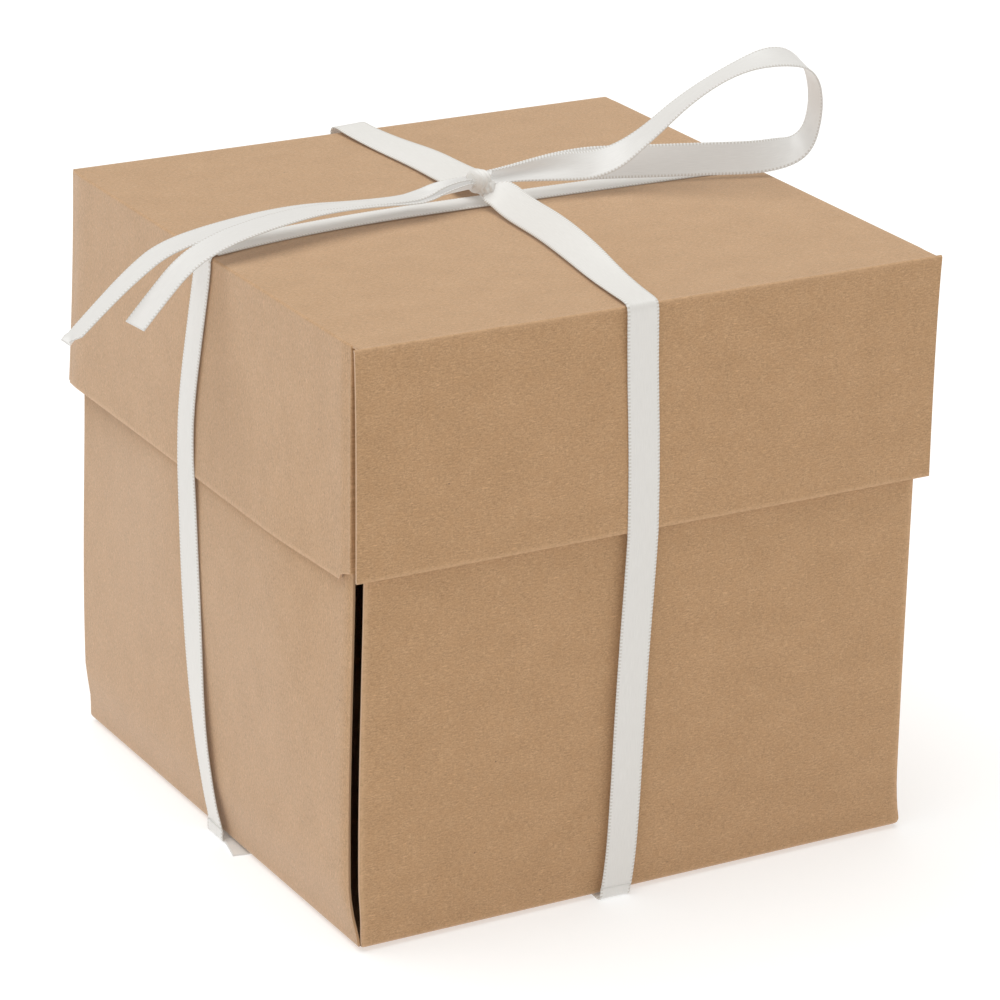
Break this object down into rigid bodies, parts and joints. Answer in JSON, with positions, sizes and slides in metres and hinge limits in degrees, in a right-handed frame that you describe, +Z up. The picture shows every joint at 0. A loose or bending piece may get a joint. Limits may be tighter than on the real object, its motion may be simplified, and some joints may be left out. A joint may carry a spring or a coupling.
{
  "type": "gift box",
  "caption": "Square folded-board gift box with a deep lift-off lid, tied crosswise with narrow satin ribbon and a half bow.",
  "frame": {"origin": "middle of the footprint, on the surface the box stands on", "axes": "+Z up, out through the lid; -Y the front side, +X the side that the loop of the bow points to"},
  "size_m": [0.1623, 0.1234, 0.143],
  "materials": {
    "kraft_board": "matt uncoated kraft board with fine fibres",
    "satin_ribbon": "off-white satin with woven selvedges"
  },
  "bodies": {
    "box": {"base_panel": "kraft_board", "front_side": "kraft_board", "back_side": "kraft_board", "left_side": "kraft_board", "right_side": "kraft_board", "ribbon_under_front_to_back": "satin_ribbon", "ribbon_under_side_to_side": "satin_ribbon"},
    "lid": {"lid_back_wall": "kraft_board", "lid_front_wall": "kraft_board", "lid_left_wall": "kraft_board", "lid_right_wall": "kraft_board", "lid_tab_back_left": "kraft_board", "lid_tab_back_right": "kraft_board", "lid_tab_front_left": "kraft_board", "lid_tab_front_right": "kraft_board", "lid_top": "kraft_board", "ribbon_back_drop": "satin_ribbon", "ribbon_front_drop": "satin_ribbon", "ribbon_knot": "satin_ribbon", "ribbon_left_drop": "satin_ribbon", "ribbon_long_tail": "satin_ribbon", "ribbon_loop": "satin_ribbon", "ribbon_right_drop": "satin_ribbon", "ribbon_short_tail": "satin_ribbon", "ribbon_top_back": "satin_ribbon", "ribbon_top_front": "satin_ribbon", "ribbon_top_side_to_side": "satin_ribbon"}
  },
  "joints": [
    {"name": "lid_lift", "type": "slide", "parent": "box", "child": "lid", "axis": [0, 0, 1], "range_m": [0, 0.13]}
  ]
}
